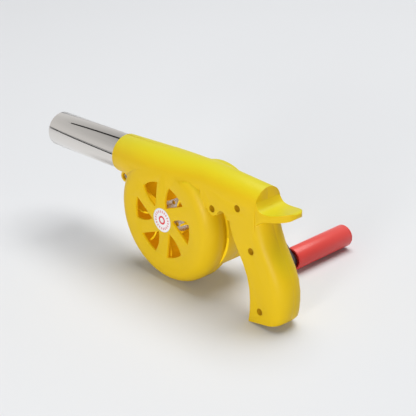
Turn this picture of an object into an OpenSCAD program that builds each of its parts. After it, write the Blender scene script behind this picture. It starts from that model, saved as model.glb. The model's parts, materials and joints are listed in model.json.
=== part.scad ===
// Hand cranked air blower in the form of a pistol, for a barbecue or a fire.
// A crank on the right drives a bladed wheel through two pairs of gears.
// The body is two moulded halves that meet on an upright plane.
//
// Every module is drawn with x from the fan axis, positive towards the back,
// y from the meeting plane, positive towards the crank, and z from the ground.
// placed() then moves it so that the origin lies under the middle of the whole.

/* [Nozzle tube] */
// Outer diameter of the steel tube
tube_d = 32; // [28:0.5:34]
// Wall of the steel tube
tube_wall = 0.8; // [0.6:0.1:1.4]
// Length of tube that shows in front of the barrel
tube_show = 93.4; // [60:0.1:120]
// Length of tube that the barrel holds
tube_seat = 16; // [12:1:18]

/* [Barrel] */
// Outer diameter of the barrel at its mouth
ring_d = 34.6; // [34:0.1:38]
// Distance from the fan axis to the mouth of the barrel
barrel_l = 67; // [64:1:75]
// Height of the tube axis above the fan axis, at the mouth of the barrel
barrel_rise = 36.5; // [35:0.5:38]
// Angle by which the tube points down towards its tip
barrel_tilt = 2.5; // [1:0.1:4]
// Largest width of the barrel, beside the fan
barrel_w = 38.2; // [36:0.2:40]
// Distance from the fan axis back to where the barrel is as narrow as the body
barrel_end = 42; // [36:1:50]

/* [Fan housing] */
// Outer diameter of the drum round the fan
drum_d = 117; // [114:1:122]
// Depth of the drum from the meeting plane to its vented face
face_depth = 19.3; // [18:0.1:22]
// Depth of the drum from the meeting plane to its back
back_depth = 16; // [15:0.5:18]
// Rounding between the rim and the faces of the drum
shoulder_r = 13; // [9:0.5:13.5]
// Thickness of the moulded walls
wall = 2.4; // [1.8:0.1:2.8]

/* [Vents] */
// Number of vents
vent_count = 6; // [5:1:8]
// Radius of the outer edge of the vents
vent_r = 34.2; // [30:0.5:38]
// Radius at which the inner tips of the vents end
vent_tip_r = 12.6; // [12:0.2:15]
// Angle that one vent spans at its outer edge
vent_span = 35; // [25:1:38]
// How far the inner tip runs ahead of the middle of the vent
vent_lead = 14; // [0:1:17]
// Radius of the curved leading side of a vent
vent_bow_r = 26; // [24:1:60]
// Diameter of the round label in the middle
label_d = 21.6; // [16:0.2:22]
// Thickness of the label
label_t = 0.5; // [0.3:0.1:0.8]

/* [Body] */
// Height of the top of the body
body_h = 120; // [118:1:124]
// Width of the body and grip
body_w = 29; // [27:0.5:32]
// Distance from the fan axis to the back face of the body
back_l = 105.5; // [103:0.5:108]
// Angle by which the ridge of the body falls towards its back
ridge_fall = 1.5; // [0:0.1:2.5]
// Distance from the fan axis to the middle of the foot of the grip, less half its depth
grip_l = 109; // [106:1:112]
// Height of the underside of the body behind the drum
belly_h = 85.5; // [84:0.5:88]
// Distance from the fan axis to the tip of the thumb rest
tang_l = 139; // [134:1:144]
// Thickness of the thumb rest
tang_t = 3.2; // [2.6:0.2:5]

/* [Gear case] */
// Distance from the fan axis back to the crank axis
crank_offset = 18; // [17:0.5:20]
// Outer diameter of the gear cover
cover_d = 88; // [87:1:92]
// Distance from the meeting plane to the outer face of the gear cover
cover_out = 40; // [39.5:0.5:44]
// Module of the gear teeth
tooth_m = 0.7; // [0.68:0.01:0.72]
// Teeth of the crank gear
crank_teeth = 56; // [54:1:58]
// Teeth of each pinion
pinion_teeth = 12; // [12:1:13]
// Teeth of the larger idler wheel
idler_teeth = 34; // [32:1:36]

/* [Fan wheel] */
// Outer diameter of the fan wheel
wheel_d = 80; // [70:1:84]
// Number of blades
blade_count = 8; // [6:1:12]
// Depth of the blades
blade_h = 14; // [10:0.5:15]
// Thickness of a blade
blade_t = 1.6; // [1.2:0.1:2.4]

/* [Crank] */
// Distance from the crank axis to the handle axis
crank_r = 66; // [60:1:75]
// Angle of the crank arm below the horizontal at rest
crank_drop = 45; // [40:1:45]
// Width of the crank arm
arm_w = 14; // [12:0.5:18]
// Thickness of the crank arm
arm_t = 2.5; // [2:0.1:4]
// How far the crank arm steps outwards between its two ends
arm_step = 24.8; // [15:0.1:30]
// Length of the handle with its cap
handle_l = 71; // [60:1:90]
// Diameter of the handle
handle_d = 20.4; // [19:0.2:23]

/* [Fits] */
// Radial clearance of a running fit
fit = 0.05; // [0.03:0.01:0.08]
// Gap between a moving piece and its seat
rest_gap = 0.3; // [0.2:0.05:0.4]

/* [Hidden] */
$fn = 96;
overrun = 1;

// Colours
yellow = [0.88, 0.74, 0.13];
red = [0.85, 0.28, 0.26];
steel = [0.78, 0.77, 0.75];
zinc = [0.7, 0.72, 0.74];
brass = [0.78, 0.62, 0.3];
nylon = [0.93, 0.92, 0.87];
black = [0.12, 0.12, 0.12];
white = [0.97, 0.97, 0.98];

// Main places
drum_r = drum_d / 2;
fan_z = drum_r;
barrel_z = fan_z + barrel_rise;
body_half = body_w / 2;
front_reach = barrel_l + tube_show * cos(barrel_tilt) + tube_d / 2 * sin(barrel_tilt);
fan_x = (front_reach - tang_l) / 2;
whole_l = front_reach + tang_l;

// Depths along y, from the meeting plane outwards on the crank side
back_in = back_depth - wall;
spigot_h = 2;
boss_h = 2;
low_wheel_y = back_depth + boss_h + 3 * rest_gap;
low_wheel_t = 4.5;
wheel_gap = 1.5;
high_wheel_y = low_wheel_y + low_wheel_t + wheel_gap;
high_wheel_t = 5;
plate_gap = 1.6;
plate_y = high_wheel_y + high_wheel_t + plate_gap;
plate_t = 1.5;
cover_in = cover_out - wall;
cover_round = 4;
nose_h = 4;
nose_y = cover_out + nose_h;
washer_t = 1.2;
arm_y = nose_y + washer_t + rest_gap + rest_gap / 3;
arm_out_y = arm_y + arm_step;
handle_y = arm_out_y + arm_t + washer_t + 2 * rest_gap;
handle_end = handle_y + handle_l;
mid_y = (face_depth - handle_end) / 2;

// Moves a piece from its drawing place to the origin of the whole
module placed() {
    translate([fan_x, mid_y, 0]) children();
}

// Turns what is drawn upwards so that it points along +y from the given place
module along_y(x, y, z) {
    translate([x, y, z]) rotate([-90, 0, 0]) children();
}

// A round bar along y between two depths
module bar_y(x, z, r, y0, y1) {
    along_y(x, y0, z) cylinder(r = r, h = y1 - y0);
}

// A plate drawn in x and z that fills the depths from y0 to y1
module plate_xz(y0, y1) {
    translate([0, y1, 0]) rotate([90, 0, 0]) linear_extrude(y1 - y0) children();
}

// The half of space on one side of the meeting plane
module half_space(side) {
    reach = whole_l;
    translate([-reach, side > 0 ? 0 : -reach, -reach]) cube([2 * reach, reach, 2 * reach]);
}

// Drum round the fan

// Half profile of the drum: radius along x, depth along y
module drum_profile(r, front, back, round_r) {
    translate([0, -front + round_r]) square([r, front + back - 2 * round_r]);
    translate([0, -front]) square([r - round_r, front + back]);
    translate([r - round_r, -front + round_r]) circle(round_r);
    translate([r - round_r, back - round_r]) circle(round_r);
}

// The profile turned about the fan axis
module drum_form(r, front, back, round_r) {
    translate([0, 0, fan_z]) rotate([-90, 0, 0]) rotate_extrude()
        intersection() {
            drum_profile(r, front, back, round_r);
            translate([0, -front]) square([r, front + back]);
        }
}

// One vent: an arc outside, a bowed leading side and a straight trailing side
module vent_outline() {
    lead_a = vent_span / 2;
    tip = [vent_tip_r * cos(vent_lead), vent_tip_r * sin(vent_lead)];
    head = [vent_r * cos(lead_a), vent_r * sin(lead_a)];
    tail = [vent_r * cos(lead_a), -vent_r * sin(lead_a)];
    chord = head - tip;
    half_chord = norm(chord) / 2;
    across = [chord.y, -chord.x] / norm(chord);
    bow_c = (head + tip) / 2 + across * sqrt(vent_bow_r * vent_bow_r - half_chord * half_chord);
    edge = (tail - tip) / norm(tail - tip);
    edge_a = atan2(edge.y, edge.x);
    intersection() {
        circle(vent_r);
        translate(bow_c) circle(vent_bow_r);
        translate(tip) rotate(edge_a) square([vent_r, vent_r]);
    }
}

vent_turn = 56.5;
module vents() {
    for (i = [0:vent_count - 1])
        translate([0, 0, fan_z]) rotate([0, -vent_turn - i * 360 / vent_count, 0])
            plate_xz(-face_depth - overrun, -face_depth + wall + overrun) vent_outline();
}

// Barrel

// Each row is [distance from the mouth, half width, height of the ridge above the mouth's top]
// as shares of the barrel's whole length, of the widest half width and of the ridge's whole rise
barrel_shares = [[0, ring_d / barrel_w, 0], [0.17, 0.935, 0.175], [0.36, 0.98, 0.39],
    [0.56, 1, 0.6], [0.72, 0.965, 0.755], [0.87, 0.86, 0.89], [1, body_w * 1.02 / barrel_w, 0.98],
    [1.05, body_w * 0.96 / barrel_w, 0.84]];
barrel_steps = 36;
barrel_whole = barrel_l + barrel_end;
mouth_top = barrel_z + ring_d / 2;

// Smoothly widening barrel, as one closed mesh of round rows
module barrel_form() {
    rows = len(barrel_shares);
    points = [for (row = barrel_shares) let (
        r = row[1] * barrel_w / 2,
        x = -barrel_l + row[0] * barrel_whole,
        top = mouth_top + row[2] * (body_h - mouth_top))
        for (j = [0:barrel_steps - 1]) let (a = j * 360 / barrel_steps)
            [x, -r * sin(a), top - r + r * cos(a)]];
    faces = concat(
        [[for (j = [0:barrel_steps - 1]) j]],
        [for (i = [0:rows - 2]) for (j = [0:barrel_steps - 1])
            each let (a = i * barrel_steps + j, b = i * barrel_steps + (j + 1) % barrel_steps)
                [[a, a + barrel_steps, b + barrel_steps], [a, b + barrel_steps, b]]],
        [[for (j = [barrel_steps - 1:-1:0]) (rows - 1) * barrel_steps + j]]);
    polyhedron(points = points, faces = faces, convexity = 6);
}

// Points what is drawn upwards along the tube, from the mouth of the barrel backwards
module along_tube() {
    translate([-barrel_l, 0, barrel_z]) rotate([0, 90 - barrel_tilt, 0]) children();
}

// Lug under the mouth that takes the front screw
lug_r = 5;
lug_half = 8;
lug_in = 5.5;
lug_low = 3;
lug_x = -barrel_l + lug_in;
lug_z = barrel_z - tube_d / 2 - lug_low;
module lug_form() {
    bar_y(lug_x, lug_z, lug_r, -lug_half, lug_half);
}

// Body above the grip, with a half round ridge

// Cross section of the body, width along x and height along y
module ridge_section(inset) {
    translate([0, body_h - body_half]) circle(body_half - inset);
    translate([-body_half + inset, 0]) square([body_w - 2 * inset, body_h - body_half]);
}

// The section run along the body, falling a little towards the back
module ridge_bar(inset, reach) {
    translate([barrel_end, 0, body_h]) rotate([0, ridge_fall, 0]) translate([-barrel_end, 0, -body_h])
        rotate([90, 0, 90]) linear_extrude(reach) ridge_section(inset);
}

// The lobe under the body keeps its distance from the rim of the drum
lobe_r = 5.8;
arch_r = 5.5;
lobe_gap = 5.4;
lobe_over = 1.5;
lobe_z = belly_h + lobe_over;
lobe_x = sqrt(drum_r * drum_r - pow(lobe_z - fan_z, 2)) + lobe_gap;

// Screw places, as [x, z]
rear_in = 23.5;
rear_low = 23;
web_in = 7.5;
web_low = 55.5;
heel_out = 3.5;
heel_z = 13.7;
lobe_at = [lobe_x, lobe_z];
rear_at = [grip_l - rear_in, body_h - rear_low];
web_at = [grip_l - web_in, body_h - web_low];
heel_at = [grip_l + heel_out, heel_z];
lug_at = [lug_x, lug_z];

// Side outline of the body from the drum to the back face
module body_outline() {
    difference() {
        union() {
            translate([barrel_end, belly_h]) square([back_l - barrel_end, body_h - belly_h]);
            translate([back_l / 2, belly_h - wall]) square([back_l / 2, body_h - belly_h]);
            translate(lobe_at) circle(lobe_r);
        }
        translate([lobe_at.x + lobe_r + arch_r, belly_h - wall]) circle(arch_r);
    }
}

module body_form() {
    intersection() {
        plate_xz(-body_half, body_half) body_outline();
        ridge_bar(0, back_l);
    }
}

// Grip

// Each row is [share of the neck height, front edge, back edge, rounding in front, rounding
// behind, lean]; both edges are shares of the distance that lays out the grip, both
// roundings are shares of half the width, and the lean is how steeply the row rises backwards
neck_over = 6.5;
neck_h = belly_h + neck_over;
grip_shares = [[0, 0.91, 1.2, 0.1, 0.62, 0.2], [0.04, 0.915, 1.232, 0.11, 0.74, 0.18],
    [0.12, 0.92, 1.25, 0.12, 0.82, 0.14], [0.22, 0.92, 1.258, 0.13, 0.84, 0.1],
    [0.33, 0.91, 1.257, 0.14, 0.86, 0.06], [0.44, 0.884, 1.242, 0.15, 0.88, 0.03],
    [0.55, 0.84, 1.205, 0.15, 0.88, 0.01], [0.65, 0.785, 1.155, 0.15, 0.88, 0],
    [0.75, 0.735, 1.1, 0.15, 0.86, 0], [0.85, 0.7, 1.06, 0.15, 0.84, 0],
    [0.94, 0.69, 1.03, 0.15, 0.8, 0], [1, 0.69, 1.012, 0.15, 0.74, 0]];
front_steps = 4;
back_steps = 7;

function corner_arc(cx, cy, r, from_a, steps) =
    [for (k = [0:steps]) [cx + r * cos(from_a + 90 * k / steps), cy + r * sin(from_a + 90 * k / steps)]];

// The rounded rectangle of one row, seen from above
function grip_row(row) = let (
    x0 = row[1] * grip_l,
    x1 = row[2] * grip_l,
    rf = row[3] * body_half,
    rb = row[4] * body_half)
    concat(corner_arc(x0 + rf, -body_half + rf, rf, 180, front_steps),
        corner_arc(x1 - rb, -body_half + rb, rb, 270, back_steps),
        corner_arc(x1 - rb, body_half - rb, rb, 0, back_steps),
        corner_arc(x0 + rf, body_half - rf, rf, 90, front_steps));

// One closed mesh through all rows
module grip_form() {
    n = 2 * (front_steps + back_steps + 2);
    rows = len(grip_shares);
    points = [for (row = grip_shares) for (p = grip_row(row))
        [p.x, p.y, row[0] * neck_h + row[5] * (p.x - row[1] * grip_l)]];
    faces = concat(
        [[for (j = [0:n - 1]) j]],
        [for (i = [0:rows - 2]) for (j = [0:n - 1]) each let (a = i * n + j, b = i * n + (j + 1) % n)
            [[a, a + n, b + n], [a, b + n, b]]],
        [[for (j = [n - 1:-1:0]) (rows - 1) * n + j]]);
    polyhedron(points = points, faces = faces, convexity = 6);
}

// Side outline of the hollow in the grip
module grip_hollow_outline(front_in, back_in_x) {
    low = 2;
    high = len(grip_shares) - 1;
    polygon(concat(
        [for (i = [low:high]) [grip_shares[i][1] * grip_l + front_in, grip_shares[i][0] * neck_h]],
        [for (i = [high:-1:low]) [grip_shares[i][2] * grip_l - back_in_x, grip_shares[i][0] * neck_h]]));
}

module grip_hollow() {
    deep = body_half - wall;
    plate_xz(-deep, deep) grip_hollow_outline(1.5 * wall, 3.4 * wall);
    plate_xz(-deep / 2, deep / 2) grip_hollow_outline(1.4 * wall, 1.5 * wall);
}

// Thumb rest: a leaf shaped tongue behind the body
tang_sunk = 4;
tang_low = 24.5;
tang_root = back_l - tang_sunk;
tang_z = body_h - tang_low;
tang_tilt = 8;
tang_reach = (tang_l - tang_root) / cos(tang_tilt);
tang_tip_r = 4.5;
tang_tip_half = 2;
tang_side_in = 1.5;
tang_fillet_r = 5;

module tang_outline() {
    taper = body_half - tang_tip_half;
    side_r = (tang_reach * tang_reach + taper * taper) / (2 * taper);
    intersection() {
        translate([0, side_r - body_half]) circle(side_r, $fn = 180);
        translate([0, body_half - side_r]) circle(side_r, $fn = 180);
        union() {
            translate([-tang_root + back_l - wall - tang_tip_r, -body_half])
                square([tang_reach - back_l + tang_root + wall, body_w]);
            translate([tang_reach - tang_tip_r, 0]) circle(tang_tip_r);
        }
    }
}

module tang_form() {
    translate([tang_root, 0, tang_z]) rotate([0, -tang_tilt, 0])
        linear_extrude(tang_t) tang_outline();
    intersection() {
        translate([back_l, 0, tang_z + tang_t])
            plate_xz(-body_half + tang_side_in, body_half - tang_side_in) difference() {
                translate([-overrun, -overrun]) square(tang_fillet_r + overrun);
                translate([tang_fillet_r, tang_fillet_r]) circle(tang_fillet_r);
            }
        ridge_bar(0, back_l + tang_fillet_r);
    }
}

// Outer form of both halves together
module outer_form() {
    drum_form(drum_r, face_depth, back_depth, shoulder_r);
    barrel_form();
    lug_form();
    body_form();
    grip_form();
    tang_form();
}

// Hollows

chamber_r = drum_r - wall;
tube_in_r = tube_d / 2 - tube_wall;
duct_r = tube_in_r - rest_gap;
duct_share = 0.45;

module chamber() {
    drum_form(chamber_r, face_depth - wall, back_in, shoulder_r - wall);
}

// Bore for the tube, and the duct from it to the chamber
module barrel_bore() {
    along_tube() {
        translate([0, 0, -2 * overrun]) cylinder(r = tube_d / 2 + fit, h = tube_seat + 2 * overrun);
        cylinder(r = duct_r, h = barrel_l - duct_share * chamber_r);
    }
}

// Hollow of the body behind the drum
module body_hollow() {
    difference() {
        intersection() {
            translate([barrel_end, -body_half, belly_h + wall])
                cube([back_l - barrel_end - wall, body_w, body_h]);
            ridge_bar(wall, back_l);
        }
        bar_y(0, fan_z, drum_r, -body_w, body_w);
    }
}

// Screws and their bosses

screw_r = 1.45;
screw_head_r = 2.8;
screw_head_h = 2;
hole_r = screw_r + fit;
recess_r = 3.1;
boss_r = 4;
seat_share = 0.55;
long_screw = 17;
short_screw = 10;
deep_boss = body_half - wall / 2;

// Rows of [place, half width of the body there, length of the screw]
screw_rows = [[lobe_at, body_half, long_screw], [rear_at, body_half, long_screw],
    [web_at, body_half, long_screw], [heel_at, body_half, long_screw],
    [lug_at, lug_half, short_screw]];

module pan_screw(l) {
    slot_w = 0.7;
    slot_l = screw_head_r * 1.2;
    difference() {
        union() {
            translate([0, 0, -screw_head_h]) cylinder(r1 = screw_head_r * 0.8, r2 = screw_head_r,
                h = screw_head_h / 2);
            translate([0, 0, -screw_head_h / 2]) cylinder(r = screw_head_r, h = screw_head_h / 2);
            cylinder(r = screw_r, h = l);
        }
        for (a = [0, 90]) rotate(a)
            translate([-slot_l / 2, -slot_w / 2, -screw_head_h - overrun])
                cube([slot_l, slot_w, overrun + screw_head_h / 2]);
    }
}

module left_bosses() {
    for (row = screw_rows) bar_y(row[0].x, row[0].y, boss_r, -row[1] + wall / 2, 0);
}

module left_holes() {
    for (row = screw_rows) {
        seat = -row[1] * seat_share;
        bar_y(row[0].x, row[0].y, hole_r, -row[1] - overrun, overrun);
        bar_y(row[0].x, row[0].y, recess_r, -row[1] - overrun, seat);
    }
}

module right_bosses() {
    for (row = screw_rows) bar_y(row[0].x, row[0].y, boss_r, 0, row[1] - wall / 2);
}

module right_holes() {
    for (row = screw_rows)
        bar_y(row[0].x, row[0].y, hole_r, -overrun, row[2] - row[1] * seat_share + overrun);
}

// Ribs across the hollow grip
rib_t = 1.6;
rib_shares = [0.3, 0.52];
module grip_ribs() {
    for (s = rib_shares)
        translate([0.85 * grip_l, -body_half + wall / 2, s * neck_h])
            cube([0.36 * grip_l, body_w - wall, rib_t]);
}

// Everything that both halves share, before the halves get their own holes
module moulded_half(side) {
    intersection() {
        union() {
            difference() {
                outer_form();
                chamber();
                barrel_bore();
                body_hollow();
                grip_hollow();
            }
            intersection() {
                grip_hollow();
                grip_ribs();
            }
        }
        half_space(side);
    }
}

module left_shell() {
    color(yellow) placed() difference() {
        union() {
            moulded_half(-1);
            left_bosses();
        }
        left_holes();
        vents();
        along_y(0, -face_depth - overrun, fan_z) cylinder(d = label_d + 2 * fit, h = overrun + label_t);
        barrel_bore();
    }
}

// Gears

pressure_a = 25;
addendum_share = 0.9;
dedendum_share = 1.2;
backlash = 0.06;
centre_play = 0.05;
crank_pitch_r = crank_teeth * tooth_m / 2;
pinion_pitch_r = pinion_teeth * tooth_m / 2;
idler_pitch_r = idler_teeth * tooth_m / 2;

// The idler sits where it meets both the crank gear and the fan pinion
idler_to_crank = crank_pitch_r + pinion_pitch_r + centre_play;
idler_to_fan = idler_pitch_r + pinion_pitch_r + centre_play;
idler_x = (idler_to_fan * idler_to_fan - idler_to_crank * idler_to_crank
    + crank_offset * crank_offset) / (2 * crank_offset);
idler_z = fan_z + sqrt(idler_to_fan * idler_to_fan - idler_x * idler_x);
to_idler_a = atan2(idler_z - fan_z, idler_x - crank_offset);
to_fan_a = atan2(fan_z - idler_z, -idler_x);

function unroll(a) = tan(a) * 180 / PI - a;

// Half the angle that a tooth spans at radius r
function tooth_half_a(teeth, r) = let (pitch_r = teeth * tooth_m / 2, base_r = pitch_r * cos(pressure_a))
    90 / teeth - backlash / pitch_r * 180 / PI + unroll(pressure_a) - unroll(acos(min(1, base_r / r)));

function polar(r, a) = [r * cos(a), r * sin(a)];

// Points of one tooth round the angle a, from its right foot to its left foot
function tooth_points(teeth, a) = let (
    pitch_r = teeth * tooth_m / 2,
    base_r = pitch_r * cos(pressure_a),
    root_r = pitch_r - dedendum_share * tooth_m,
    tip_r = pitch_r + addendum_share * tooth_m,
    low_r = max(base_r, root_r),
    steps = 3,
    flank = [for (k = [0:steps]) low_r + (tip_r - low_r) * k / steps])
    concat([polar(root_r, a - tooth_half_a(teeth, low_r))],
        [for (r = flank) polar(r, a - tooth_half_a(teeth, r))],
        [for (k = [steps:-1:0]) polar(flank[k], a + tooth_half_a(teeth, flank[k]))],
        [polar(root_r, a + tooth_half_a(teeth, low_r))]);

// A toothed wheel with one tooth at the angle phase
module gear_outline(teeth, phase) {
    polygon([for (i = [0:teeth - 1]) each tooth_points(teeth, phase + i * 360 / teeth)]);
}

// Gear case on the back of the drum

cover_r = cover_d / 2;
post_r = 3.5;
post_in = 8;
post_ring = cover_r - post_in;
post_count = 3;
post_start = 70;
shaft_r = 4;
fan_shaft_r = 2;
axle_r = 1.5;
bush_wall = 2;
crank_boss_wall = 3;
crank_boss_step = 1;
crank_boss_r = shaft_r + crank_boss_wall;
crank_boss_h = boss_h + crank_boss_step;
spigot_t = 1.6;
sink = wall / 2;

module at_posts() {
    for (i = [0:post_count - 1]) {
        a = post_start + i * 360 / post_count;
        translate([crank_offset + post_ring * cos(a), 0, fan_z + post_ring * sin(a)]) children();
    }
}

// Round base that the gear cover stands on, with the bosses inside the case
module gear_base() {
    difference() {
        bar_y(crank_offset, fan_z, cover_r, 0, back_depth);
        bar_y(0, fan_z, chamber_r, -overrun, back_in);
        translate([0, -overrun, 0]) bar_y(crank_offset, fan_z, cover_r - wall, 0, back_in);
    }
    difference() {
        bar_y(crank_offset, fan_z, cover_r - wall - fit, back_in, back_depth + spigot_h);
        bar_y(crank_offset, fan_z, cover_r - wall - fit - spigot_t, back_depth,
            back_depth + spigot_h + overrun);
    }
    at_posts() bar_y(0, 0, post_r, back_in, plate_y);
    bar_y(0, fan_z, fan_shaft_r + fit + 2 * bush_wall, bush_y + rest_gap, back_depth + boss_h);
    bar_y(idler_x, idler_z, axle_r + bush_wall, back_in, back_depth + boss_h + 2 * rest_gap);
    bar_y(crank_offset, fan_z, crank_boss_r, back_in, back_depth + crank_boss_h);
}
bush_in = 4;
bush_y = back_in - bush_in;

// Room beside the barrel for the gear cover
module cover_room() {
    bar_y(crank_offset, fan_z, cover_r + rest_gap, back_depth, cover_out);
}

module right_shell() {
    color(yellow) placed() difference() {
        union() {
            difference() {
                moulded_half(1);
                cover_room();
            }
            right_bosses();
            gear_base();
        }
        right_holes();
        barrel_bore();
        bar_y(0, fan_z, fan_shaft_r + fit + bush_wall, bush_y - overrun, back_depth + boss_h + overrun);
        bar_y(idler_x, idler_z, axle_r + fit, back_in + wall / 3, plate_y);
        bar_y(crank_offset, fan_z, shaft_r + fit, back_in + wall / 3, plate_y);
        at_posts() bar_y(0, 0, hole_r, back_depth, plate_y + overrun);
    }
}

// Label

module hub_label() {
    color(white) placed() along_y(0, -face_depth, fan_z) cylinder(d = label_d, h = label_t);
}

// Plain steel tube

module nozzle_tube() {
    color(steel) placed() along_tube() translate([0, 0, -tube_show]) difference() {
        cylinder(d = tube_d, h = tube_show + tube_seat);
        translate([0, 0, -overrun]) cylinder(r = tube_in_r, h = tube_show + tube_seat + 2 * overrun);
    }
}

module shell_screws() {
    color(zinc) placed()
        for (row = screw_rows) along_y(row[0].x, -row[1] * seat_share, row[0].y) pan_screw(row[2]);
}

// Fan wheel

wheel_r = wheel_d / 2;
wheel_eye_r = 17;
wheel_plate_t = 1.6;
wheel_y = 0.5;
wheel_hub_r = 8;
wheel_hub_end = bush_y - rest_gap;
blade_r = 26;
blade_lean = 52;

// One blade: part of a ring, leaning back from the way that it turns
module blade_outline() {
    intersection() {
        difference() {
            circle(wheel_r);
            circle(wheel_eye_r);
        }
        translate([wheel_eye_r + blade_r * cos(blade_lean), -blade_r * sin(blade_lean)]) difference() {
            circle(blade_r);
            circle(blade_r - blade_t);
        }
        rotate(-blade_lean) square(wheel_d);
    }
}

module fan_wheel() {
    color(yellow) placed() difference() {
        union() {
            bar_y(0, fan_z, wheel_r, wheel_y, wheel_y + wheel_plate_t);
            bar_y(0, fan_z, wheel_hub_r, wheel_y, wheel_hub_end);
            for (i = [0:blade_count - 1])
                translate([0, 0, fan_z]) rotate([0, i * 360 / blade_count, 0])
                    plate_xz(wheel_y - blade_h, wheel_y + wheel_plate_t / 2) blade_outline();
        }
        bar_y(0, fan_z, fan_shaft_r + fit, wheel_y - overrun, wheel_hub_end + overrun);
    }
}

// Steel flange with a ring of holes, seated on the front of the fan wheel
flange_r = 15.5;
flange_t = 1.3;
flange_holes = 5;
flange_ring = 10.4;
flange_hole_r = 2;

module hub_flange() {
    color(steel) placed() difference() {
        union() {
            bar_y(0, fan_z, flange_r, wheel_y - flange_t, wheel_y);
            bar_y(0, fan_z, fan_shaft_r + bush_wall, wheel_y - 2 * flange_t, wheel_y);
        }
        bar_y(0, fan_z, fan_shaft_r + fit, wheel_y - 3 * flange_t, wheel_y + overrun);
        for (i = [0:flange_holes - 1]) {
            a = 120 + i * 360 / flange_holes;
            bar_y(flange_ring * cos(a), fan_z + flange_ring * sin(a), flange_hole_r,
                wheel_y - flange_t - overrun, wheel_y + overrun);
        }
    }
}

fan_nut_w = 7;
fan_nut_h = 3.2;
fan_nut_y = wheel_y - 2 * flange_t - fan_nut_h;

// A hexagon nut along y
module hex_nut(x, z, width, bore_r, y0, y1) {
    along_y(x, y0, z) difference() {
        intersection() {
            cylinder(d = width / cos(30), h = y1 - y0, $fn = 6);
            cylinder(d1 = width * 1.04, d2 = width * 1.04 + 2 * (y1 - y0), h = y1 - y0);
            cylinder(d2 = width * 1.04, d1 = width * 1.04 + 2 * (y1 - y0), h = y1 - y0);
        }
        translate([0, 0, -overrun]) cylinder(r = bore_r, h = y1 - y0 + 2 * overrun);
    }
}

module fan_nut() {
    color(zinc) placed()
        hex_nut(0, fan_z, fan_nut_w, fan_shaft_r + fit, fan_nut_y, fan_nut_y + fan_nut_h);
}

pinion_y = back_depth + boss_h + rest_gap;
pinion_end = high_wheel_y - 2 * rest_gap;
fan_shaft_over = 1.4;
fan_shaft_front = fan_nut_y - fan_shaft_over;

module fan_shaft() {
    color(steel) placed() bar_y(0, fan_z, fan_shaft_r, fan_shaft_front, pinion_end);
}

module fan_bush() {
    color(brass) placed() difference() {
        bar_y(0, fan_z, fan_shaft_r + bush_wall, bush_y, back_depth + boss_h);
        bar_y(0, fan_z, fan_shaft_r + fit, bush_y - overrun, back_depth + boss_h + overrun);
    }
}

module fan_pinion() {
    color(brass) placed() difference() {
        translate([0, 0, fan_z]) plate_xz(pinion_y, pinion_end)
            gear_outline(pinion_teeth, to_fan_a + 180 + 180 / pinion_teeth);
        bar_y(0, fan_z, fan_shaft_r + fit, pinion_y - overrun, pinion_end + overrun);
    }
}

// Idler

idler_end = plate_y - rest_gap;

module idler_axle() {
    color(steel) placed() bar_y(idler_x, idler_z, axle_r, back_in + wall / 3, plate_y + plate_t);
}

module idler_gear() {
    color(nylon) placed() difference() {
        translate([idler_x, 0, idler_z]) {
            plate_xz(low_wheel_y, low_wheel_y + low_wheel_t) gear_outline(idler_teeth, to_fan_a);
            plate_xz(low_wheel_y + low_wheel_t / 2, idler_end)
                gear_outline(pinion_teeth, to_idler_a + 180 + 180 / pinion_teeth);
        }
        bar_y(idler_x, idler_z, axle_r + fit, low_wheel_y - overrun, idler_end + overrun);
    }
}

// Crank gear and shaft

crank_hub_r = 7;
crank_hub_y = back_depth + crank_boss_h + rest_gap;
gear_pin_r = 1;
gear_pin_y = (crank_hub_y + high_wheel_y) / 2;
end_r = 3;
crank_nut_w = 10;
crank_nut_h = 4.5;
crank_nut_y = arm_y + arm_t + washer_t;
shaft_over = 1.7;
shaft_end = crank_nut_y + crank_nut_h + shaft_over;

module crank_gear() {
    color(nylon) placed() difference() {
        union() {
            translate([crank_offset, 0, fan_z]) plate_xz(high_wheel_y, high_wheel_y + high_wheel_t)
                gear_outline(crank_teeth, to_idler_a);
            bar_y(crank_offset, fan_z, crank_hub_r, crank_hub_y, plate_y - rest_gap);
        }
        bar_y(crank_offset, fan_z, shaft_r + fit, crank_hub_y - overrun, plate_y + overrun);
        pin_hole();
    }
}

// Cross hole for the pin that locks the crank gear to its shaft
module pin_hole() {
    translate([crank_offset - crank_hub_r - overrun, gear_pin_y, fan_z]) rotate([0, 90, 0])
        cylinder(r = gear_pin_r + fit, h = 2 * (crank_hub_r + overrun));
}

module gear_pin() {
    color(steel) placed() translate([crank_offset - crank_hub_r, gear_pin_y, fan_z]) rotate([0, 90, 0])
        cylinder(r = gear_pin_r, h = 2 * crank_hub_r);
}

module crank_shaft() {
    color(steel) placed() difference() {
        union() {
            bar_y(crank_offset, fan_z, shaft_r, back_in + wall / 3 + rest_gap, arm_y);
            bar_y(crank_offset, fan_z, end_r, arm_y, shaft_end);
        }
        pin_hole();
    }
}

plate_play = 1.5;
module gear_plate() {
    color(zinc) placed() difference() {
        bar_y(crank_offset, fan_z, cover_r - wall - plate_play, plate_y, plate_y + plate_t);
        bar_y(crank_offset, fan_z, shaft_r + fit, plate_y - overrun, plate_y + plate_t + overrun);
        bar_y(idler_x, idler_z, axle_r + fit, plate_y - overrun, plate_y + plate_t + overrun);
        at_posts() bar_y(0, 0, hole_r, plate_y - overrun, plate_y + plate_t + overrun);
    }
}

// Gear cover

nose_r = 9;
nose_tip_r = 8;
crank_bush_r = shaft_r + bush_wall;
cover_screw_seat = cover_out - screw_head_h - rest_gap;
cover_screw_l = 16;

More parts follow.
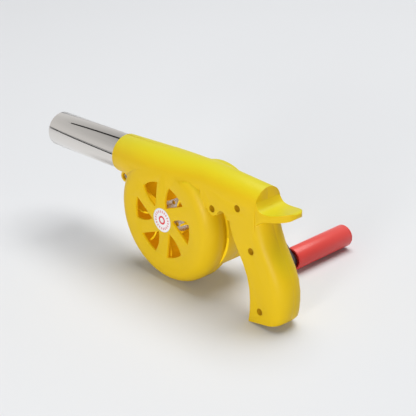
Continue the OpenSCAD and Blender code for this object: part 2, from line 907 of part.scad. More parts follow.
module gear_cover() {
    color(yellow) placed() difference() {
        union() {
            difference() {
                along_y(crank_offset, 0, fan_z) rotate_extrude() {
                    translate([0, back_depth]) square([cover_r, cover_out - cover_round - back_depth]);
                    square_to_face(cover_r - cover_round);
                    translate([cover_r - cover_round, cover_out - cover_round]) circle(cover_round);
                }
                bar_y(crank_offset, fan_z, cover_r - wall, back_depth - overrun, cover_in);
            }
            along_y(crank_offset, cover_out - sink, fan_z)
                cylinder(r1 = nose_r, r2 = nose_tip_r, h = nose_h + sink);
            bar_y(crank_offset, fan_z, nose_r, cover_in - wall, cover_out - sink);
            at_posts() bar_y(0, 0, post_r, plate_y + plate_t, cover_out - sink);
        }
        bar_y(crank_offset, fan_z, crank_bush_r, cover_in - wall - overrun, nose_y + overrun);
        at_posts() {
            bar_y(0, 0, hole_r, plate_y, cover_out + overrun);
            bar_y(0, 0, recess_r, cover_screw_seat, cover_out + overrun);
        }
    }
}

// Rectangle of the cover's profile that reaches its outer face
module square_to_face(r) {
    translate([0, back_depth]) square([r, cover_out - back_depth]);
}

module cover_screws() {
    color(zinc) placed() at_posts() translate([0, cover_screw_seat, 0]) rotate([90, 0, 0])
        pan_screw(cover_screw_l);
}

module crank_bush() {
    color(brass) placed() difference() {
        bar_y(crank_offset, fan_z, crank_bush_r, cover_in - wall, nose_y);
        bar_y(crank_offset, fan_z, shaft_r + fit, cover_in - wall - overrun, nose_y + overrun);
    }
}

// A flat ring along y
module ring_y(x, z, r_out, r_in, y0, y1) {
    difference() {
        bar_y(x, z, r_out, y0, y1);
        bar_y(x, z, r_in, y0 - overrun, y1 + overrun);
    }
}

module crank_washer() {
    color(nylon) placed()
        ring_y(crank_offset, fan_z, nose_tip_r, shaft_r + fit, arm_y - washer_t, arm_y);
}

// Crank arm

// Turns what is drawn along +x from the crank axis to where the arm points at rest
module on_arm() {
    translate([crank_offset, 0, fan_z]) rotate([0, crank_drop, 0]) children();
}

// Side view of the strip: along the arm in x, outwards in y
bend_start_share = 0.32;
bend_end_share = 0.68;
module arm_profile() {
    end = crank_r + arm_w / 2;
    u0 = bend_start_share * crank_r;
    u1 = bend_end_share * crank_r;
    shift = arm_t * 0.4;
    polygon([[-arm_w / 2, arm_y], [u0 + shift, arm_y], [u1 + shift, arm_out_y], [end, arm_out_y],
        [end, arm_out_y + arm_t], [u1 - shift, arm_out_y + arm_t], [u0 - shift, arm_y + arm_t],
        [-arm_w / 2, arm_y + arm_t]]);
}

module crank_arm() {
    color(steel) placed() on_arm() difference() {
        intersection() {
            translate([0, 0, -arm_w / 2]) linear_extrude(arm_w) arm_profile();
            union() {
                bar_y(0, 0, arm_w / 2, arm_y, arm_out_y + arm_t);
                bar_y(crank_r, 0, arm_w / 2, arm_y, arm_out_y + arm_t);
                translate([0, arm_y, -arm_w / 2]) cube([crank_r, arm_step + arm_t, arm_w]);
            }
        }
        bar_y(0, 0, end_r + fit, arm_y - overrun, arm_y + arm_t + overrun);
        bar_y(crank_r, 0, pin_r + fit, arm_out_y - overrun, arm_out_y + arm_t + overrun);
    }
}

lock_washer_w = 2.4;
module lock_washer() {
    color(zinc) placed()
        ring_y(crank_offset, fan_z, end_r + lock_washer_w, end_r + fit, arm_y + arm_t,
            arm_y + arm_t + washer_t);
}

module crank_nut() {
    color(zinc) placed()
        hex_nut(crank_offset, fan_z, crank_nut_w, end_r + fit, crank_nut_y, crank_nut_y + crank_nut_h);
}

// Handle

pin_r = 2.5;
pin_head_r = 4.5;
pin_head_h = 1.7;
handle_r = handle_d / 2;
handle_wall = 1.5;
cap_h = 3;
cap_round = 2.5;
plug_h = 5;
core_r = 5;
core_back = 4.7;
core_end = handle_end - cap_h - plug_h - core_back;
clip_t = 1;
pin_over = 1.6;
pin_end = core_end + rest_gap + clip_t + pin_over;
handle_washer_over = 2;
clip_over = 0.6;
spoke_count = 4;

module handle_pin() {
    color(steel) placed() on_arm() {
        bar_y(crank_r, 0, pin_head_r, arm_out_y - pin_head_h, arm_out_y);
        bar_y(crank_r, 0, pin_r, arm_out_y, pin_end);
    }
}

module handle_washer() {
    color(black) placed() on_arm()
        ring_y(crank_r, 0, core_r + handle_washer_over, pin_r + fit, arm_out_y + arm_t,
            arm_out_y + arm_t + washer_t);
}

module handle_sleeve() {
    tube_end = handle_end - cap_h;
    color(red) placed() on_arm() difference() {
        union() {
            ring_y(crank_r, 0, handle_r, handle_r - handle_wall, handle_y, tube_end);
            bar_y(crank_r, 0, core_r, handle_y, core_end);
            for (i = [0:spoke_count - 1])
                translate([crank_r, 0, 0]) rotate([0, i * 360 / spoke_count, 0])
                    translate([core_r / 2, handle_y + handle_d / 2, -handle_wall / 2])
                        cube([handle_r - handle_wall / 2 - core_r / 2, core_end - handle_y - handle_d / 2,
                            handle_wall]);
        }
        bar_y(crank_r, 0, pin_r + fit, handle_y - overrun, core_end + overrun);
    }
}

module handle_clip() {
    color(zinc) placed() on_arm()
        ring_y(crank_r, 0, core_r + clip_over, pin_r + fit, core_end + rest_gap,
            core_end + rest_gap + clip_t);
}

module handle_cap() {
    color(red) placed() on_arm() {
        along_y(crank_r, handle_end - cap_h, 0) rotate_extrude() {
            square([handle_r, cap_h - cap_round]);
            square([handle_r - cap_round, cap_h]);
            translate([handle_r - cap_round, cap_h - cap_round]) intersection() {
                circle(cap_round);
                square(cap_round);
            }
        }
        bar_y(crank_r, 0, handle_r - handle_wall - fit, handle_end - cap_h - plug_h, handle_end - cap_h);
    }
}

left_shell();
right_shell();
hub_label();
nozzle_tube();
shell_screws();
fan_wheel();
hub_flange();
fan_nut();
fan_shaft();
fan_bush();
fan_pinion();
idler_axle();
idler_gear();
crank_gear();
crank_shaft();
gear_pin();
gear_plate();
gear_cover();
cover_screws();
crank_bush();
crank_washer();
crank_arm();
lock_washer();
crank_nut();
handle_pin();
handle_washer();
handle_sleeve();
handle_clip();
handle_cap();
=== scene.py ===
import bpy
import json
from math import radians, tau
from mathutils import Matrix, Vector

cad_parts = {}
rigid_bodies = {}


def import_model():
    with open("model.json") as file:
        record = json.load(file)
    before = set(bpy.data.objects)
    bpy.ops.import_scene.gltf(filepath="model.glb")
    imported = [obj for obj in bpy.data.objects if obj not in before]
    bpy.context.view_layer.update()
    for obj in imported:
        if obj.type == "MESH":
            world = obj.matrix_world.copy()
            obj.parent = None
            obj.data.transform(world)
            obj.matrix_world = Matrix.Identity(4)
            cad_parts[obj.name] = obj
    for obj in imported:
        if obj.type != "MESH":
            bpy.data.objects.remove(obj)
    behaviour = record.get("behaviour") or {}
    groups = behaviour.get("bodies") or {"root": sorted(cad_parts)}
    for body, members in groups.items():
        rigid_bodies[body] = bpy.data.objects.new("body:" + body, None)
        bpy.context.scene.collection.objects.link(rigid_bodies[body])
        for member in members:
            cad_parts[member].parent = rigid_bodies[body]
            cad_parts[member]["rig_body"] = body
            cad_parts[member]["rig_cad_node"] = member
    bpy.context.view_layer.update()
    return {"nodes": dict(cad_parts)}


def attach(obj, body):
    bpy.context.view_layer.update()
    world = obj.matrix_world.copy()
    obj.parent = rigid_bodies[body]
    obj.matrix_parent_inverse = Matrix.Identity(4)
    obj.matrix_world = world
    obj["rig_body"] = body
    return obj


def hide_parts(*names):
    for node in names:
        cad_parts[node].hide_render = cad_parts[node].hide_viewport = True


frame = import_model()

# Camera: the picture is taken from behind and above on the vented side, with a long lens. Its
# place was found by fitting the object's length, width and height to the photograph.
mid_y = -0.0632  # the plane on which the halves of the body meet
view_side = Vector((0.68835, 0.72537, 0.0))
view_dir = Vector((-0.65633, 0.62283, -0.42578))
view_up = view_side.cross(view_dir)
aim_side, aim_up, camera_away = 0.0328, 0.0543, 1.125
camera = bpy.data.objects.new("camera", bpy.data.cameras.new("camera"))
bpy.context.scene.collection.objects.link(camera)
spot = view_side * aim_side + view_up * aim_up - view_dir * camera_away + Vector((0, mid_y, 0))
camera.matrix_world = Matrix.Translation(spot) @ Matrix(
    (view_side, view_up, -view_dir)).transposed().to_4x4()
camera.data.lens = 110.0
camera.data.sensor_width = 36.0
camera.data.clip_end = 20.0
bpy.context.scene.camera = camera
bpy.context.scene.view_settings.view_transform = "Standard"


# Studio: a pale floor in plain grey light, with one very large soft lamp high above the object and
# a weaker one on the vented side. Two dark strips give the polished tube its dark lines.
def fill(node, values):
    for socket, value in values.items():
        node.inputs[socket].default_value = value


def add_node(tree, kind, values=None, **settings):
    node = tree.nodes.new(kind)
    for name, value in settings.items():
        setattr(node, name, value)
    fill(node, values or {})
    return node


def new_finish(name):
    finish = bpy.data.materials.new(name)
    finish.use_nodes = True
    return finish, finish.node_tree, finish.node_tree.nodes["Principled BSDF"]


world = bpy.data.worlds.new("studio")
bpy.context.scene.world = world
world.use_nodes = True
sky, sky_link = world.node_tree, world.node_tree.links.new
sky_low, sky_high, sky_in_mirrors = 0.36, 0.14, 0.32
sky_place = add_node(sky, "ShaderNodeTexCoord")
sky_parts = add_node(sky, "ShaderNodeSeparateXYZ")
sky_fade = add_node(sky, "ShaderNodeMapRange", {
    "From Min": 0.2, "From Max": 0.8, "To Min": sky_low, "To Max": sky_high})
sky_ray = add_node(sky, "ShaderNodeLightPath")
sky_sum = add_node(sky, "ShaderNodeMath", {1: sky_in_mirrors}, operation="MULTIPLY_ADD")
sky_link(sky_place.outputs["Generated"], sky_parts.inputs["Vector"])
sky_link(sky_parts.outputs["Z"], sky_fade.inputs["Value"])
sky_link(sky_ray.outputs["Is Glossy Ray"], sky_sum.inputs[0])
sky_link(sky_fade.outputs["Result"], sky_sum.inputs[2])
sky_link(sky_sum.outputs["Value"], sky.nodes["Background"].inputs["Strength"])
fill(sky.nodes["Background"], {"Color": (1, 1, 1, 1)})


def plane(name, size, place, turn, tone):
    bpy.ops.object.select_all(action="DESELECT")
    bpy.ops.mesh.primitive_plane_add(size=1, location=place, rotation=turn)
    sheet = bpy.context.object
    sheet.name = name
    sheet.scale = size
    finish, _, shader = new_finish(name)
    fill(shader, {"Base Color": tone, "Roughness": 0.9, "Specular IOR Level": 0.1})
    sheet.data.materials.append(finish)
    return sheet


def lamp(name, place, aim, size, power):
    data = bpy.data.lights.new(name, "AREA")
    data.shape = "DISK"
    data.size = size
    data.energy = power
    data.color = lamp_tone
    obj = bpy.data.objects.new(name, data)
    bpy.context.scene.collection.objects.link(obj)
    obj.location = place
    obj.rotation_euler = (Vector(aim) - Vector(place)).to_track_quat("-Z", "Y").to_euler()


pale_grey, near_black, lamp_tone = (0.72, 0.74, 0.78, 1), (0.01, 0.01, 0.01, 1), (1, 0.985, 0.95)
strip_length = 1.6
plane("pale_floor", (30, 30, 1), (0, 0, 0), (0, 0, 0), pale_grey)
for name, width, place, tilt in (("overhead_strip", 0.15, (-0.75, 0.0, 0.85), 5),
                                 ("low_strip", 0.05, (-0.6, -0.5, 0.026), 90)):
    strip = plane(name, (strip_length, width, 1), place, (radians(tilt), 0, 0), near_black)
    strip.visible_camera = False
    strip.visible_diffuse = False
    strip.visible_shadow = False
lamp("key_lamp", (0.05, 0.65, 2.7), (0.05, -0.05, 0.0), 2.4, 80)
lamp("front_lamp", (0.6, -1.45, 0.32), (0, 0, 0.06), 0.35, 11.5)


# Moulded halves: the two halves of the body, injection moulded in glossy yellow plastic and
# screwed together on an upright plane. Every outer edge has a small moulded radius.
def new_group(name, inputs, outputs):
    group = bpy.data.node_groups.new(name, "ShaderNodeTree")
    for way, sockets in (("INPUT", inputs), ("OUTPUT", outputs)):
        for socket, kind in sockets.items():
            group.interface.new_socket(name=socket, in_out=way, socket_type="NodeSocket" + kind)
    return group, add_node(group, "NodeGroupInput"), add_node(group, "NodeGroupOutput")


def surface_group():
    group, given, result = new_group(
        "moulded_surface", {"Side": "Color", "Top": "Color", "Rough": "Float", "Grain": "Float"},
        {"Color": "Color", "Roughness": "Float", "Height": "Float"})
    link = group.links.new
    place = add_node(group, "ShaderNodeTexCoord")
    # Painted light: faces that look up take a lighter, more lemon top tone, as if lit from above;
    # the others take the side tone
    upward = add_node(group, "ShaderNodeSeparateXYZ")
    share = add_node(group, "ShaderNodeMapRange", {"From Min": 0.35, "From Max": 0.95})
    blend = add_node(group, "ShaderNodeMix", data_type="RGBA")
    link(place.outputs["Normal"], upward.inputs["Vector"])
    link(upward.outputs["Z"], share.inputs["Value"])
    link(share.outputs["Result"], blend.inputs["Factor"])
    link(given.outputs["Side"], blend.inputs[6])
    link(given.outputs["Top"], blend.inputs[7])
    # A faint cloud in the depth of the colour
    cloud = add_node(group, "ShaderNodeTexNoise", {"Scale": 18, "Detail": 3})
    depth = add_node(group, "ShaderNodeMapRange", {
        "From Min": 0.3, "From Max": 0.7, "To Min": 0.97})
    shade = add_node(group, "ShaderNodeVectorMath", operation="SCALE")
    link(place.outputs["Object"], cloud.inputs["Vector"])
    link(cloud.outputs["Fac"], depth.inputs["Value"])
    link(blend.outputs[2], shade.inputs[0])
    link(depth.outputs["Result"], shade.inputs["Scale"])
    # The fine grain of the mould, in the gloss and in the relief
    grain = add_node(group, "ShaderNodeTexNoise", {"Detail": 2})
    rough = add_node(group, "ShaderNodeMath", {1: 0.12}, operation="MULTIPLY_ADD")
    link(place.outputs["Object"], grain.inputs["Vector"])
    link(given.outputs["Grain"], grain.inputs["Scale"])
    link(grain.outputs["Fac"], rough.inputs[0])
    link(given.outputs["Rough"], rough.inputs[2])
    link(shade.outputs["Vector"], result.inputs["Color"])
    link(rough.outputs["Value"], result.inputs["Roughness"])
    link(grain.outputs["Fac"], result.inputs["Height"])
    return group


moulded_surface = surface_group()
relief_depth = 0.0001
# Tone of the painted glow inside the drum
painted_glow_tone = (1.0, 0.5, 0.008, 1)


def moulded(name, side, top, rough, grain, bump, shine=0.2, painted_glow=0.0):
    finish, tree, shader = new_finish(name)
    link = tree.links.new
    surface = add_node(tree, "ShaderNodeGroup", {
        "Side": side, "Top": top, "Rough": rough, "Grain": grain}, node_tree=moulded_surface)
    relief = add_node(tree, "ShaderNodeBump", {"Strength": bump, "Distance": relief_depth})
    link(surface.outputs["Color"], shader.inputs["Base Color"])
    link(surface.outputs["Roughness"], shader.inputs["Roughness"])
    link(surface.outputs["Height"], relief.inputs["Height"])
    link(relief.outputs["Normal"], shader.inputs["Normal"])
    fill(shader, {"Specular IOR Level": shine,
                  "Emission Color": painted_glow_tone, "Emission Strength": painted_glow})
    return finish


def pick(piece):
    bpy.ops.object.select_all(action="DESELECT")
    piece.select_set(True)
    bpy.context.view_layer.objects.active = piece


weld, flat_angle = 0.00001, radians(0.6)
bevel_angle, smooth_angle = radians(32), radians(38)


def finished_copy(node, name, finish, body, edge):
    source = frame["nodes"][node]
    piece = source.copy()
    piece.data = source.data.copy()
    piece.name = name
    piece.parent = None
    bpy.context.scene.collection.objects.link(piece)
    pick(piece)
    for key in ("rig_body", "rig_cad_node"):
        if key in piece:
            del piece[key]
    bpy.ops.object.mode_set(mode="EDIT")
    bpy.ops.mesh.select_all(action="SELECT")
    bpy.ops.mesh.remove_doubles(threshold=weld)
    bpy.ops.mesh.dissolve_limited(angle_limit=flat_angle)
    bpy.ops.object.mode_set(mode="OBJECT")
    piece.data.materials.clear()
    piece.data.materials.append(finish)
    soft = piece.modifiers.new("edges", "BEVEL")
    soft.width = edge
    soft.segments = 2
    soft.limit_method = "ANGLE"
    soft.angle_limit = bevel_angle
    soft.miter_outer = "MITER_ARC"
    bpy.ops.object.modifier_apply(modifier="edges")
    bpy.ops.object.shade_smooth_by_angle(angle=smooth_angle)
    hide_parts(node)
    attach(piece, body)
    return piece


# Painted light: the top tone is the lighter lemon that the yellow takes where light falls from
# above
yellow_side, yellow_painted_top_light = (0.77, 0.51, 0.005, 1), (0.66, 0.585, 0.015, 1)
inner_yellow_painted_light, recess_painted_shade_yellow = (0.86, 0.64, 0.01, 1), (0.60, 0.33, 0.003, 1)
mould_grain, moulded_edge = 900, 0.0005
yellow_plastic = moulded("yellow_plastic", yellow_side, yellow_painted_top_light, 0.36, mould_grain, 0.2)
# Painted light: the inside of the wall and the fan wheel take a brighter tone and a faint painted
# glow, standing in for the light that comes through the thin wall
inner_plastic_painted_glow = moulded("inner_plastic_painted_glow", inner_yellow_painted_light, inner_yellow_painted_light, 0.45, mould_grain, 0.2,
                        painted_glow=0.12)
# Painted shade: the walls of the screw recesses take a darker orange tone, as shade falls in the
# recesses
recess_plastic_painted_shade = moulded("recess_plastic_painted_shade", recess_painted_shade_yellow, recess_painted_shade_yellow, 0.45, mould_grain, 0.2)
halves = [finished_copy(node, name, yellow_plastic, "body", moulded_edge)
          for node, name in (("left_shell", "left_half"), ("right_shell", "right_half"))]

# Drum crown: the top of the drum, in one piece with the halves. The mould runs from the drum into
# the barrel as one soft flank, so the crown is drawn in to a guide of the barrel's form here, and
# the inside of its wall a little further.
fan_x, fan_z = 0.011, 0.0585
drum_front, drum_back, drum_rim, drum_round = 0.0193, 0.016, 0.0585, 0.013
# Stations along the barrel: place, height of its axis, radius
barrel_rows = ((-0.056, 0.095, 0.0173), (-0.0375, 0.0958, 0.01786), (-0.0168, 0.0966, 0.01872),
               (0.005, 0.0978, 0.0191), (0.0225, 0.0997, 0.01843), (0.0388, 0.1027, 0.01643),
               (0.053, 0.1051, 0.01479), (0.07, 0.1049, 0.0145))


def barrel_guide(grow):
    data = bpy.data.curves.new("barrel_guide", "CURVE")
    data.dimensions = "3D"
    data.bevel_depth = 1.0
    data.bevel_resolution = 60
    line = data.splines.new("POLY")
    line.points.add(len(barrel_rows) - 1)
    for point, (x, z, radius) in zip(line.points, barrel_rows):
        point.co = (x, mid_y, z, 1)
        point.radius = radius + grow
    guide = bpy.data.objects.new("barrel_guide", data)
    bpy.context.scene.collection.objects.link(guide)
    pick(guide)
    bpy.ops.object.convert(target="MESH")
    return guide


def barrel_at(x):
    for (x0, z0, r0), (x1, z1, r1) in zip(barrel_rows, barrel_rows[1:]):
        if x <= x1:
            return z0 + (z1 - z0) * (x - x0) / (x1 - x0), r0 + (r1 - r0) * (x - x0) / (x1 - x0)
    return barrel_rows[-1][1:]


def drum_radius(depth):
    past = max(-depth - drum_front + drum_round, depth - drum_back + drum_round, 0)
    return drum_rim - drum_round + max(drum_round ** 2 - past ** 2, 0) ** 0.5


def in_drum(point):
    x, depth, z = point.x, point.y - mid_y, point.z
    return x, depth, z, ((x - fan_x) ** 2 + (z - fan_z) ** 2) ** 0.5


def close_to(x, z, place, reach):
    return (x - place[0]) ** 2 + (z - place[1]) ** 2 < reach ** 2


# Screw places, found from the screws' own points
screw_reach, recess_reach = 0.01, 0.0036
screw_points = [(v.co.x, v.co.z) for v in frame["nodes"]["shell_screws"].data.vertices]
screw_places = []
for x, z in screw_points:
    if not any(close_to(x, z, place, screw_reach) for place in screw_places):
        near = [point for point in screw_points if close_to(*point, (x, z), screw_reach)]
        screw_places.append(tuple(sum(values) / len(near) for values in zip(*near)))

room_off, room_middle = 0.0016, -0.002
room_front, room_back, face_inside = -0.0185, 0.0145, -0.0168


def inside_drum(face):
    x, depth, z, radius = in_drum(face.center)
    inward = face.normal.dot((x - fan_x, depth - room_middle, z - fan_z)) < 0
    return (radius < drum_radius(depth) - room_off and room_front < depth < room_back
            and (inward or depth < face_inside))


def in_recess(face):
    x, _, z, _ = in_drum(face.center)
    return abs(face.normal.y) < 0.3 and any(
        close_to(x, z, place, recess_reach) for place in screw_places)


skin, crown_half, hub_clear = 0.0012, 0.04, 0.03
crown_grow, ceiling_grow, crown_weld = 0.00003, -0.0014, 0.0004
sheen_from, sheen_to, sheen_off = -0.05, 0.065, 0.0006
for half in halves:
    half.data.materials.append(inner_plastic_painted_glow)
    half.data.materials.append(recess_plastic_painted_shade)
    for face in half.data.polygons:
        # Faces inside the drum take the brighter tone with its painted glow
        if inside_drum(face):
            face.material_index = 1
        # Recess walls take the painted shade tone
        if in_recess(face):
            face.material_index = 2
    crown, ceiling = half.vertex_groups.new(name="crown"), half.vertex_groups.new(name="ceiling")
    for vertex in half.data.vertices:
        x, depth, z, radius = in_drum(vertex.co)
        if abs(x - fan_x) < crown_half and z > barrel_at(x)[0] and radius > hub_clear:
            outer = (radius > drum_radius(depth) - skin
                     or depth < -drum_front + skin or depth > drum_back - skin)
            (crown if outer else ceiling).add([vertex.index], 1.0, "REPLACE")
    for name, grow in (("crown", crown_grow), ("ceiling", ceiling_grow)):
        guide = barrel_guide(grow)
        wrap = half.modifiers.new(name, "SHRINKWRAP")
        wrap.target = guide
        wrap.wrap_mode = "INSIDE"
        wrap.vertex_group = name
        pick(half)
        bpy.ops.object.modifier_apply(modifier=name)
        bpy.data.objects.remove(guide)
    bpy.ops.object.mode_set(mode="EDIT")
    bpy.ops.mesh.select_all(action="DESELECT")
    half.vertex_groups.active_index = half.vertex_groups["crown"].index
    bpy.ops.object.vertex_group_select()
    bpy.ops.mesh.select_more()
    bpy.ops.mesh.remove_doubles(threshold=crown_weld)
    bpy.ops.object.mode_set(mode="OBJECT")
    bpy.ops.object.shade_smooth_by_angle(angle=smooth_angle, keep_sharp_edges=False)
    # The skin of the barrel takes the guide's normals, so that it shades as one smooth form
    guide = barrel_guide(0.0)
    barrel_skin = []
    for vertex in half.data.vertices:
        x, depth, z, _ = in_drum(vertex.co)
        axis_z, barrel_r = barrel_at(x)
        off = (depth ** 2 + (z - axis_z) ** 2) ** 0.5 - barrel_r
        if sheen_from < x < sheen_to and z > axis_z - 0.0005 and abs(off) < sheen_off:
            barrel_skin.append(vertex.index)
    half.vertex_groups.new(name="barrel_skin").add(barrel_skin, 1.0, "REPLACE")
    pick(half)
    sheen = half.modifiers.new("sheen", "DATA_TRANSFER")
    sheen.object = guide
    sheen.use_loop_data = True
    sheen.data_types_loops = {"CUSTOM_NORMAL"}
    sheen.loop_mapping = "POLYINTERP_NEAREST"
    sheen.vertex_group = "barrel_skin"
    bpy.ops.object.modifier_apply(modifier="sheen")
    bpy.data.objects.remove(guide)

# Thumb rest: the tongue behind the body, moulded with the halves. It sweeps out of the back face
# in a wide hollow, is as broad as the body at its root and turns up to a thin rounded tip.
tongue_root, tongue_under, tongue_middle = 0.1166, 0.0935, 0.1
drawn_back = (0.08, 0.9, 1)
for half in halves:
    pick(half)
    for vertex in half.data.vertices:
        vertex.select = vertex.co.x > tongue_root and vertex.co.z > tongue_under
    for edge in half.data.edges:
        edge.select = False
    for face in half.data.polygons:
        face.select = False
    bpy.ops.object.mode_set(mode="EDIT")
    bpy.ops.mesh.select_mode(type="VERT")
    # The tongue of the solids is drawn back into the body, under the new one
    bpy.ops.transform.resize(value=drawn_back, center_override=(tongue_root, mid_y, tongue_middle))
    bpy.ops.object.mode_set(mode="OBJECT")

# Stations along the tongue: place, height on top, height below, half width
tongue = ((0.1130, 0.1118, 0.0880, 0.0138), (0.1158, 0.1090, 0.0880, 0.0142),
          (0.1178, 0.1052, 0.0885, 0.0144), (0.1202, 0.1022, 0.0915, 0.0146),
          (0.1250, 0.1014, 0.0945, 0.0145), (0.1320, 0.1022, 0.0962, 0.0136),
          (0.1390, 0.1040, 0.0976, 0.0116), (0.1445, 0.1058, 0.0992, 0.0090),
          (0.1481, 0.1067, 0.1007, 0.0062), (0.1499, 0.1057, 0.1033, 0.0020))
across_shares = (-1, -0.94, -0.55, 0, 0.55, 0.94, 1)
along_steps, across_steps = len(tongue) - 1, len(across_shares) - 1
bpy.ops.object.select_all(action="DESELECT")
bpy.ops.mesh.primitive_grid_add(x_subdivisions=along_steps, y_subdivisions=across_steps, size=2)
thumb_rest = bpy.context.object
thumb_rest.name = "thumb_rest"
thumb_rest.data.name = "thumb_rest"
bpy.ops.object.mode_set(mode="EDIT")
bpy.ops.mesh.select_all(action="SELECT")
bpy.ops.mesh.extrude_region_move(TRANSFORM_OT_translate={"value": (0, 0, -1)})
bpy.ops.object.mode_set(mode="OBJECT")
for vertex in thumb_rest.data.vertices:
    x, top, low, half_width = tongue[round((vertex.co.x + 1) / 2 * along_steps)]
    across = across_shares[round((vertex.co.y + 1) / 2 * across_steps)]
    vertex.co = (x, mid_y + across * half_width, top if vertex.co.z > -0.5 else low)
thumb_rest.data.materials.append(yellow_plastic)
bpy.ops.object.mode_set(mode="EDIT")
bpy.ops.mesh.select_all(action="SELECT")
bpy.ops.mesh.normals_make_consistent(inside=False)
bpy.ops.object.mode_set(mode="OBJECT")
smooth = thumb_rest.modifiers.new("smooth", "SUBSURF")
smooth.levels = 3
smooth.render_levels = 3
bpy.ops.object.modifier_apply(modifier="smooth")
bpy.ops.object.shade_smooth()
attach(thumb_rest, "body")


# Shell screws: five zinc plated pan head screws with a cross slot. Each sits deep in a round
# recess of the left half and bites into a boss of the right half.
def streak_group():
    group, given, result = new_group(
        "metal_streaks", {"Tone": "Color", "Dark Tone": "Color", "Least Rough": "Float",
                          "Most Rough": "Float", "Stretch": "Vector"},
        {"Color": "Color", "Roughness": "Float"})
    link = group.links.new
    place, stretch = add_node(group, "ShaderNodeTexCoord"), add_node(group, "ShaderNodeMapping")
    noise = add_node(group, "ShaderNodeTexNoise", {"Scale": 300, "Detail": 4})
    spread = add_node(group, "ShaderNodeMapRange")
    tint = add_node(group, "ShaderNodeMix", data_type="RGBA")
    link(place.outputs["Object"], stretch.inputs["Vector"])
    link(given.outputs["Stretch"], stretch.inputs["Scale"])
    link(stretch.outputs["Vector"], noise.inputs["Vector"])
    link(noise.outputs["Fac"], spread.inputs["Value"])
    link(given.outputs["Least Rough"], spread.inputs["To Min"])
    link(given.outputs["Most Rough"], spread.inputs["To Max"])
    link(noise.outputs["Fac"], tint.inputs["Factor"])
    link(given.outputs["Tone"], tint.inputs[6])
    link(given.outputs["Dark Tone"], tint.inputs[7])
    link(tint.outputs[2], result.inputs["Color"])
    link(spread.outputs["Result"], result.inputs["Roughness"])
    return group


metal_streaks = streak_group()
dark_share = 0.86


def metal(name, tone, rough, streaks, stretch=(1, 1, 1)):
    finish, tree, shader = new_finish(name)
    surface = add_node(tree, "ShaderNodeGroup", {
        "Tone": tone, "Dark Tone": tuple(c * dark_share for c in tone[:3]) + (1,),
        "Least Rough": max(rough - streaks, 0.02), "Most Rough": rough + streaks,
        "Stretch": stretch}, node_tree=metal_streaks)
    tree.links.new(surface.outputs["Color"], shader.inputs["Base Color"])
    tree.links.new(surface.outputs["Roughness"], shader.inputs["Roughness"])
    fill(shader, {"Metallic": 1.0})
    return finish


def dress(finish, *nodes):
    for node in nodes:
        piece = frame["nodes"][node]
        piece.data.materials.clear()
        piece.data.materials.append(finish)


zinc_plate = metal("zinc_plate", (0.66, 0.68, 0.7, 1), 0.34, 0.12)
dress(zinc_plate, "shell_screws")

# Gear case: a round cover moulded in the same yellow plastic, spigoted on the right half and
# held by three long screws. A nose in its middle carries the crank.
finished_copy("gear_cover", "gear_case_cover", yellow_plastic, "body",
              moulded_edge)
dress(zinc_plate, "cover_screws")

# Fan wheel: moulded yellow wheel with backward leaning blades, clamped on its shaft by a nut
# against a pressed steel flange with a ring of holes. The shaft turns in a brass bush.
blade_edge = 0.0003
drawn_steel = metal("drawn_steel", (0.70, 0.70, 0.69, 1), 0.28, 0.1, (1, 0.05, 1))
turned_brass = metal("turned_brass", (0.72, 0.52, 0.2, 1), 0.28, 0.1)
# The wheel takes the inside tone with its painted glow
finished_copy("fan_wheel", "bladed_wheel", inner_plastic_painted_glow, "fan", blade_edge)
dress(drawn_steel, "hub_flange", "fan_shaft")
dress(zinc_plate, "fan_nut")
dress(turned_brass, "fan_bush", "fan_pinion")

# Gear train: two nylon wheels on steel axles behind a zinc plated bearing plate. All of it is
# closed in by the gear case and shows only with the cover off.
nylon_tone = (0.82, 0.80, 0.72, 1)
white_nylon = moulded("white_nylon", nylon_tone, nylon_tone, 0.45, 600, 0.2)
dress(white_nylon, "idler_gear", "crank_gear")
dress(drawn_steel, "idler_axle", "crank_shaft", "gear_pin")
dress(zinc_plate, "gear_plate")
dress(turned_brass, "crank_bush")

# Nozzle tube: a thin polished stainless steel tube pushed into the mouth of the barrel. Its cut
# end is deburred, and faint lines from polishing run along it.
tube_edge = 0.0003
polished_steel = metal("polished_steel", (0.86, 0.82, 0.775, 1), 0.08, 0.03, (0.02, 1, 1))
finished_copy("nozzle_tube", "steel_tube", polished_steel, "body", tube_edge)

# Label: a round white paper disc in the pocket on the vented face. It has a plain red ring in the
# middle and a circle of short red ticks near its edge; a pale violet band at its rim is a painted
# highlight along the edge.
paper_edge = 0.0001
paper_white, violet_rim_highlight = (0.86, 0.86, 0.88, 1), (0.62, 0.60, 0.82, 1)
tick_red, ring_red = (0.70, 0.08, 0.12, 1), (0.72, 0.015, 0.03, 1)
ring_r, ring_half, tick_r, tick_half, rim_r = 0.0031, 0.0008, 0.0078, 0.0011, 0.0101
tick_count, tick_gap = 20, 0.42


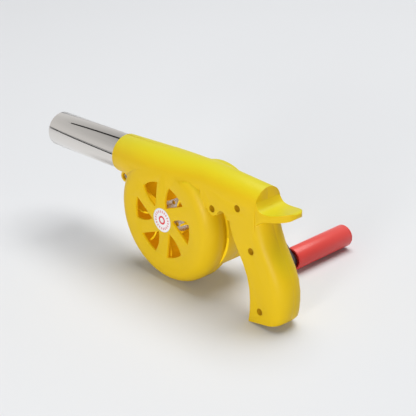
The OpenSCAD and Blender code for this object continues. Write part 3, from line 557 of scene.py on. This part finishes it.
def label_finish():
    finish, tree, shader = new_finish("white_label")
    link = tree.links.new

    def math(kind, *values):
        step = add_node(tree, "ShaderNodeMath", operation=kind)
        for slot, value in enumerate(values):
            if isinstance(value, (int, float)):
                step.inputs[slot].default_value = value
            else:
                link(value, step.inputs[slot])
        return step.outputs["Value"]

    place, parts = add_node(tree, "ShaderNodeTexCoord"), add_node(tree, "ShaderNodeSeparateXYZ")
    centre = add_node(tree, "ShaderNodeMapping", {"Location": (-fan_x, 0, -fan_z)})
    link(place.outputs["Object"], centre.inputs["Vector"])
    link(centre.outputs["Vector"], parts.inputs["Vector"])
    across, up = parts.outputs["X"], parts.outputs["Z"]
    radius = math("SQRT", math("ADD", math("MULTIPLY", across, across), math("MULTIPLY", up, up)))
    turn = math("FRACT", math("MULTIPLY", math("ARCTAN2", up, across), tick_count / tau))
    ring = math("COMPARE", radius, ring_r, ring_half)
    ticks = math("MULTIPLY", math("COMPARE", radius, tick_r, tick_half),
                 math("GREATER_THAN", turn, tick_gap))
    # Painted highlight: a pale violet band outside the rim radius
    rim_highlight = math("GREATER_THAN", radius, rim_r)
    colour = None
    for mask, strength, tone in (
            (rim_highlight, 0.6, violet_rim_highlight), (ticks, 0.7, tick_red), (ring, 1.0, ring_red)):
        mix = add_node(tree, "ShaderNodeMix", data_type="RGBA")
        fill(mix, {6: paper_white, 7: tone})
        if colour:
            link(colour, mix.inputs[6])
        link(math("MULTIPLY", mask, strength), mix.inputs["Factor"])
        colour = mix.outputs[2]
    link(colour, shader.inputs["Base Color"])
    fill(shader, {"Roughness": 0.35})
    return finish


finished_copy("hub_label", "paper_label", label_finish(), "body", paper_edge)

# Crank arm: a flat steel bar bent outwards in two steps, coloured near black as painted shade, so
# that where it shows beside the grip it reads as the shadowed opening of the handle. It is squared
# on the crank shaft and held by a lock washer and a nut, with a plain washer against the case.
bar_edge = 0.0005
# Painted shade: the near black tone stands in for the shade at the handle's near end
painted_shade_steel = metal("painted_shade_steel", (0.13, 0.13, 0.135, 1), 0.45, 0.08)
finished_copy("crank_arm", "bent_arm", painted_shade_steel, "crank", bar_edge)
dress(white_nylon, "crank_washer")
dress(zinc_plate, "lock_washer", "crank_nut")

# Handle: a hollow sleeve of glossy red plastic that turns on a steel pin, with a clip inside and
# a pressed in red end cap. A black washer keeps it off the arm.
sleeve_edge, cap_edge = 0.0004, 0.0003
# Painted light: the top tones are a little lighter, painted where the sleeve and washer face up
red_side, red_painted_top_light = (0.76, 0.05, 0.045, 1), (0.76, 0.065, 0.055, 1)
black_side, black_painted_top_light = (0.02, 0.02, 0.02, 1), (0.03, 0.03, 0.03, 1)
red_plastic = moulded("red_plastic", red_side, red_painted_top_light, 0.3, 700, 0.3, shine=0.5)
black_plastic = moulded("black_plastic", black_side, black_painted_top_light, 0.5, 600, 0.3)
finished_copy("handle_sleeve", "red_sleeve", red_plastic, "handle", sleeve_edge)
finished_copy("handle_cap", "red_cap", red_plastic, "handle", cap_edge)
dress(drawn_steel, "handle_pin")
dress(black_plastic, "handle_washer")
dress(zinc_plate, "handle_clip")
